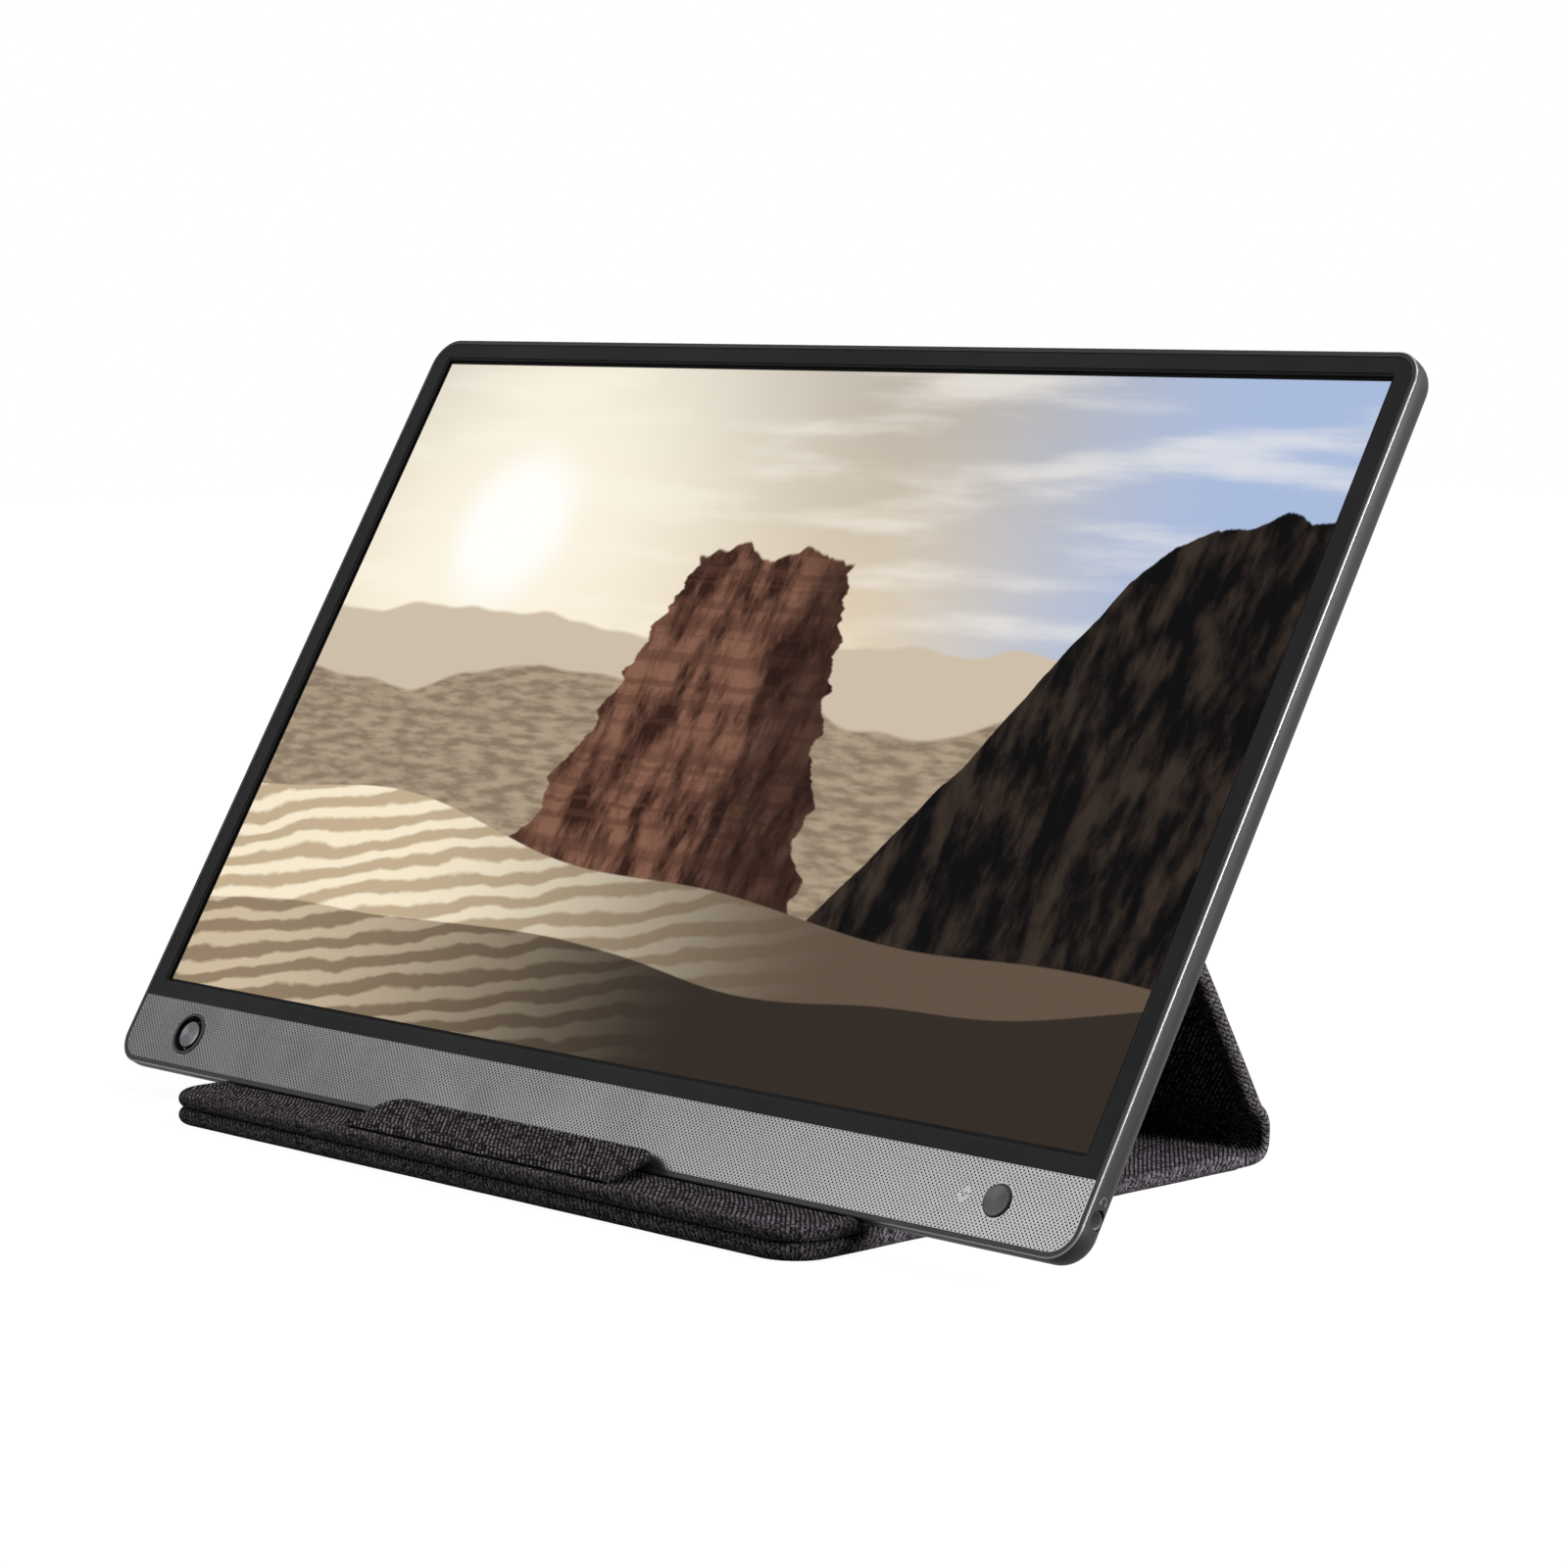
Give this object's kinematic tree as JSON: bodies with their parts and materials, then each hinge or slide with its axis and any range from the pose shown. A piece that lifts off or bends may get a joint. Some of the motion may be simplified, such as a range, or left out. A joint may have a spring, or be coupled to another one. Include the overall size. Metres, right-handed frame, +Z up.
{
  "type": "portable monitor",
  "caption": "Slim portable monitor with a perforated speaker strip and side sockets, leaning on a folding fabric cover that forms a triangular stand.",
  "frame": {"origin": "bottom centre of the box around the whole object as it stands on its cover", "axes": "+X across the screen to its right, +Y to the rear, +Z up"},
  "size_m": [0.36, 0.1638, 0.2021],
  "materials": {
    "casing_metal": "dark gunmetal, fine blasted, bright cut chamfer round the lip",
    "bezel_black": "matte near-black",
    "grille_metal": "satin silver-grey, perforated",
    "dust_cloth": "black acoustic cloth",
    "black_rubber": "black foam rubber",
    "screen": "display cell with its lit picture",
    "white_film": "white optical film",
    "light_guide": "clear acrylic",
    "steel": "plain sheet steel",
    "led_strip": "lamps on a flexible strip",
    "circuit_board": "green solder mask",
    "flat_cable": "amber film cable",
    "black_plastic": "moulded black",
    "speaker_cone": "pulp diaphragm with rubber surround",
    "ring_gloss": "piano black",
    "brass": "machined",
    "white_plastic": "acetal",
    "spun_metal": "dark, spun in fine rings",
    "cover_fabric": "charcoal melange twill",
    "stiff_board": "grey-brown board",
    "magnet": "nickel-plated magnet"
  },
  "bodies": {
    "base": {"base_fabric": "cover_fabric", "base_board": "stiff_board", "base_magnets": "magnet", "rear_fold": "cover_fabric"},
    "prop": {"prop_fabric": "cover_fabric", "prop_board": "stiff_board", "crest_fold": "cover_fabric"},
    "support": {"support_fabric": "cover_fabric", "support_board": "stiff_board", "support_magnets": "magnet", "support_lip": "cover_fabric"},
    "foot": {"foot_fabric": "cover_fabric", "foot_board": "stiff_board", "foot_magnets": "magnet", "valley_strip": "cover_fabric"},
    "flap": {"front_flap": "cover_fabric", "flap_board": "stiff_board"},
    "monitor": {"rear_casing": "casing_metal", "front_bezel": "bezel_black", "speaker_grille": "grille_metal", "dust_cloth": "dust_cloth", "display_gasket": "black_rubber", "lcd_cell": "screen", "diffuser_films": "white_film", "light_guide": "light_guide", "reflector_sheet": "white_film", "panel_frame": "white_film", "panel_tray": "steel", "led_bar": "led_strip", "driver_board": "circuit_board", "main_board": "circuit_board", "board_screws": "steel", "left_board": "circuit_board", "right_board": "circuit_board", "panel_cable": "flat_cable", "left_ribbon": "flat_cable", "right_ribbon": "flat_cable", "left_speaker_box": "black_plastic", "right_speaker_box": "black_plastic", "left_speaker_cone": "speaker_cone", "right_speaker_cone": "speaker_cone", "usb_socket": "steel", "hdmi_socket": "steel", "headphone_jack": "black_plastic", "steel_plates": "steel", "stick_ring": "ring_gloss", "stick_can": "steel", "stick_dome": "steel", "power_switch": "steel"},
    "gimbal": {"stick_gimbal": "brass"},
    "hub": {"stick_hub": "white_plastic"},
    "stick": {"stick_cap": "spun_metal"},
    "power": {"power_button": "spun_metal", "power_stem": "black_plastic"}
  },
  "joints": [
    {"name": "stand_fold", "type": "hinge", "parent": "base", "child": "prop", "pos_m": [-0.01, 0.07265, 0.0104], "axis": [1, 0, 0], "range_deg": [0, 60]},
    {"name": "crest_fold", "type": "hinge", "parent": "prop", "child": "support", "pos_m": [-0.01, 0.01948, 0.12167], "axis": [1, 0, 0], "range_deg": [-114, 0]},
    {"name": "foot_fold", "type": "hinge", "parent": "support", "child": "foot", "pos_m": [-0.01, -0.04975, 0.00645], "axis": [1, 0, 0], "range_deg": [0, 54]},
    {"name": "flap_fold", "type": "hinge", "parent": "foot", "child": "flap", "pos_m": [-0.0075, -0.07495, 0.0095], "axis": [1, 0, 0], "range_deg": [0, 150]},
    {"name": "monitor_lift", "type": "slide", "parent": "support", "child": "monitor", "axis": [0, 0.515, 0.8572], "range_m": [0, 0.16]},
    {"name": "stick_tilt", "type": "hinge", "parent": "monitor", "child": "gimbal", "pos_m": [-0.153, -0.05246, 0.01505], "axis": [1, 0, 0], "range_deg": [-6, 6], "stiffness_Nm_per_rad": 0.07},
    {"name": "stick_swing", "type": "hinge", "parent": "gimbal", "child": "hub", "pos_m": [-0.153, -0.05246, 0.01505], "axis": [0, 0.515, 0.8572], "range_deg": [-6, 6], "stiffness_Nm_per_rad": 0.07},
    {"name": "stick_press", "type": "slide", "parent": "hub", "child": "stick", "axis": [0, 0.8572, -0.515], "range_m": [0, 0.0003], "stiffness_N_per_m": 1500},
    {"name": "power_press", "type": "slide", "parent": "monitor", "child": "power", "axis": [0, 0.8572, -0.515], "range_m": [0, 0.0003], "stiffness_N_per_m": 1500}
  ],
  "couplings": [
    {"joint": "crest_fold", "follows": "stand_fold", "ratio": -1.888},
    {"joint": "foot_fold", "follows": "stand_fold", "ratio": 0.888}
  ]
}
